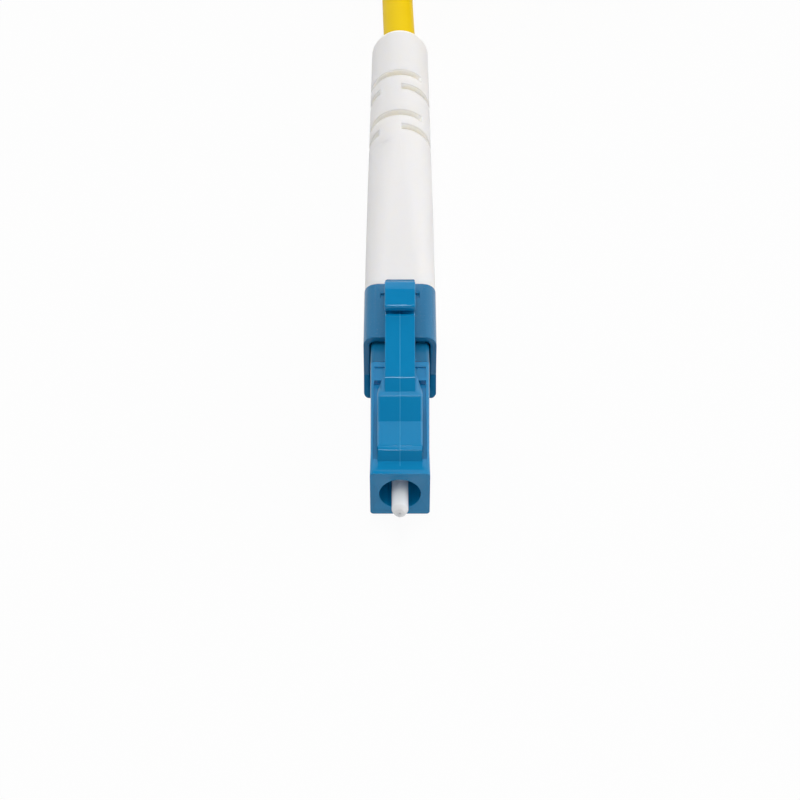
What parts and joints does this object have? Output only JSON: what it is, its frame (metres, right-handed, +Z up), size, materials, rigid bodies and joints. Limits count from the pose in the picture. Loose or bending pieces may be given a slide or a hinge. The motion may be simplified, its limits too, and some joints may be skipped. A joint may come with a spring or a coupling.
{
  "type": "lc fibre connector",
  "caption": "Small optical fibre plug with spring-loaded ceramic ferrule, top latch, trigger and long slotted boot, on a tied simplex patch cord.",
  "frame": {"origin": "below the middle of the near plug, on the plane its rear housing rests on", "axes": "+Y from the ferrule's tip towards the boot and cord, +Z up through the latch, +X to the right seen from the ferrule end"},
  "size_m": [0.0349, 0.1539, 0.0163],
  "materials": {
    "housing": "moulded, light sheen",
    "rear_housing": "moulded, fine texture",
    "ferrule": "ground and polished",
    "flange": "nickel plated",
    "fibre": "polished end",
    "spring": "drawn wire",
    "crimp": "turned and nickel plated",
    "guide_tube": "extruded",
    "buffer": "extruded",
    "yarn": "loose filaments",
    "jacket": "extruded, soft sheen",
    "boot": "soft moulded",
    "tie": "woven hook and loop tape"
  },
  "bodies": {
    "plug_and_cord": {"front_housing": "housing", "rear_housing": "rear_housing", "spring": "spring", "crimp_body": "crimp", "inner_tube": "guide_tube", "buffer": "buffer", "aramid_yarn": "yarn", "crimp_sleeve": "crimp", "cable_end": "jacket", "boot": "boot", "far_front_housing": "housing", "far_rear_housing": "rear_housing", "far_spring": "spring", "far_crimp_body": "crimp", "far_inner_tube": "guide_tube", "far_buffer": "buffer", "far_aramid_yarn": "yarn", "far_crimp_sleeve": "crimp", "far_cable_end": "jacket", "far_boot": "boot", "cord_lead": "jacket", "cord_hank": "jacket", "cord_tail": "jacket", "tie_lead": "tie", "tie_far": "tie"},
    "latch": {"latch_lever": "housing"},
    "trigger": {"trigger_lever": "rear_housing"},
    "ferrule_unit": {"ferrule": "ferrule", "ferrule_flange": "flange", "fibre": "fibre"},
    "far_latch": {"far_latch_lever": "housing"},
    "far_trigger": {"far_trigger_lever": "rear_housing"},
    "far_ferrule_unit": {"far_ferrule": "ferrule", "far_ferrule_flange": "flange", "far_fibre": "fibre"}
  },
  "joints": [
    {"name": "trigger_press", "type": "hinge", "parent": "plug_and_cord", "child": "trigger", "pos_m": [0, -0.00879, 0.00625], "axis": [1, 0, 0], "range_deg": [0, 13.5], "stiffness_Nm_per_rad": 0.2},
    {"name": "latch_press", "type": "hinge", "parent": "plug_and_cord", "child": "latch", "pos_m": [0, -0.02589, 0.00555], "axis": [-1, 0, 0], "range_deg": [0, 7.3]},
    {"name": "ferrule_retract", "type": "slide", "parent": "plug_and_cord", "child": "ferrule_unit", "axis": [0, 1, 0], "range_m": [0, 0.0008], "stiffness_N_per_m": 1500, "deforming": ["spring"]},
    {"name": "far_trigger_press", "type": "hinge", "parent": "plug_and_cord", "child": "far_trigger", "pos_m": [0.00306, 0.10253, 0.01271], "axis": [-1, 0, 0], "range_deg": [0, 13.5], "stiffness_Nm_per_rad": 0.2},
    {"name": "far_latch_press", "type": "hinge", "parent": "plug_and_cord", "child": "far_latch", "pos_m": [0.00306, 0.11963, 0.01201], "axis": [1, 0, 0], "range_deg": [0, 7.3]},
    {"name": "far_ferrule_retract", "type": "slide", "parent": "plug_and_cord", "child": "far_ferrule_unit", "axis": [0, -1, 0], "range_m": [0, 0.0008], "stiffness_N_per_m": 1500, "deforming": ["far_spring"]}
  ],
  "couplings": [
    {"joint": "latch_press", "follows": "trigger_press", "ratio": 0.53},
    {"joint": "far_latch_press", "follows": "far_trigger_press", "ratio": 0.53}
  ]
}
